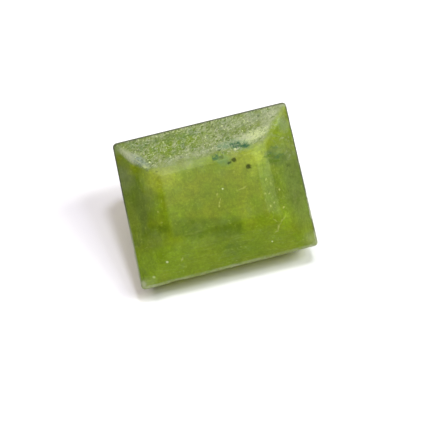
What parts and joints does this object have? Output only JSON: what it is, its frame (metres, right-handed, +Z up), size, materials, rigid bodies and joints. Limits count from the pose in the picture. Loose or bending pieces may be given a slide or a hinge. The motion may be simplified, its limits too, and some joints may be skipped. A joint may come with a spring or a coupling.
{
  "type": "vesuvianite gemstone",
  "caption": "Loose rectangular step-cut green gemstone, lying on a pavilion facet with its table tilted forward.",
  "frame": {"origin": "under the middle of the stone, on the surface that it lies on", "axes": "+Z up, +X along the stone's long front side, -Y towards the low side that the table faces"},
  "size_m": [0.0076, 0.0056, 0.0049],
  "materials": {
    "vesuvianite": "worn polish, translucent yellow-green"
  },
  "bodies": {
    "root": {"stone": "vesuvianite"}
  },
  "joints": []
}
